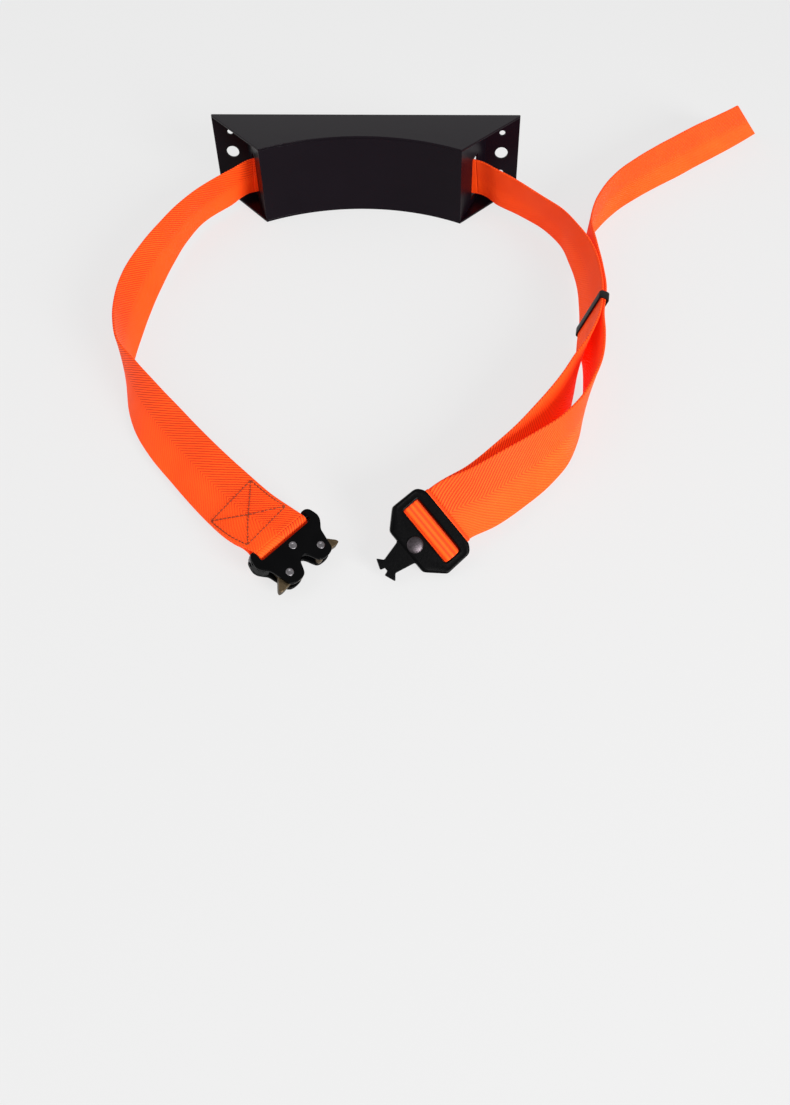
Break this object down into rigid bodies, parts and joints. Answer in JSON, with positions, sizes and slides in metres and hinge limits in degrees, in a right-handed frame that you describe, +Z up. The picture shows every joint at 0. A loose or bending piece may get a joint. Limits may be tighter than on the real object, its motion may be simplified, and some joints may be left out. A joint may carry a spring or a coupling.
{
  "type": "gas cylinder wall bracket with strap",
  "caption": "Steel wall bracket with a concave cradle front, and a webbing strap with a side-latch quick-release buckle and adjuster that holds a gas cylinder.",
  "frame": {"origin": "midway between the two wall bolt holes, on the wall plane", "axes": "+X right along the wall seen from the front, +Y into the wall, +Z up"},
  "size_m": [0.5344, 0.5511, 0.07],
  "materials": {
    "bracket_coat": "satin black powder coat",
    "webbing": "woven twill webbing",
    "thread": "sewing thread",
    "keeper_plastic": "moulded",
    "buckle_coat": "satin black",
    "latch_metal": "antique, grainy",
    "bare_steel": "brushed"
  },
  "bodies": {
    "bracket": {"bent_band": "bracket_coat", "top_plate": "bracket_coat", "bottom_plate": "bracket_coat", "weld_beads": "bracket_coat", "strap_left_run": "webbing", "strap_bracket_run": "webbing", "strap_right_run": "webbing", "strap_return_run": "webbing", "strap_tail": "webbing", "strap_loop": "webbing", "strap_flap": "webbing", "strap_wrap": "webbing", "box_stitching": "thread"},
    "keeper": {"keeper": "keeper_plastic"},
    "female_buckle": {"female_top_plate": "buckle_coat", "female_bottom_plate": "buckle_coat", "female_core": "buckle_coat", "latch_spring_left": "bare_steel", "latch_spring_right": "bare_steel", "pivot_rivet_left": "bare_steel", "pivot_rivet_right": "bare_steel", "rear_rivet": "bare_steel", "webbing_bar": "bare_steel"},
    "latch_left": {"latch_left": "latch_metal"},
    "latch_right": {"latch_right": "latch_metal"},
    "male_buckle": {"male_frame": "buckle_coat", "tongue_plate": "buckle_coat", "tongue_rivet": "bare_steel", "adjuster_bar": "bare_steel"}
  },
  "joints": [
    {"name": "female_swing", "type": "hinge", "parent": "bracket", "child": "female_buckle", "pos_m": [-0.02166, -0.41922, -0.01853], "axis": [-0.6157, -0.788, 0], "range_deg": [0, 45]},
    {"name": "male_swing", "type": "hinge", "parent": "bracket", "child": "male_buckle", "pos_m": [0.06674, -0.41315, -0.01615], "axis": [0.6499, -0.504, -0.5688], "range_deg": [0, 5]},
    {"name": "keeper_slide", "type": "slide", "parent": "bracket", "child": "keeper", "axis": [-0.1564, -0.9877, 0], "range_m": [-0.003, 0.003]},
    {"name": "latch_left_turn", "type": "hinge", "parent": "female_buckle", "child": "latch_left", "pos_m": [0.00078, -0.42051, -0.02619], "axis": [0.3016, -0.2356, 0.9239], "range_deg": [0, 12], "stiffness_Nm_per_rad": 0.02, "springref_deg": -11.46, "deforming": ["latch_spring_left"]},
    {"name": "latch_right_turn", "type": "hinge", "parent": "female_buckle", "child": "latch_right", "pos_m": [-0.01498, -0.44068, -0.02619], "axis": [-0.3016, 0.2356, -0.9239], "range_deg": [0, 12], "stiffness_Nm_per_rad": 0.02, "springref_deg": -11.46, "deforming": ["latch_spring_right"]}
  ]
}
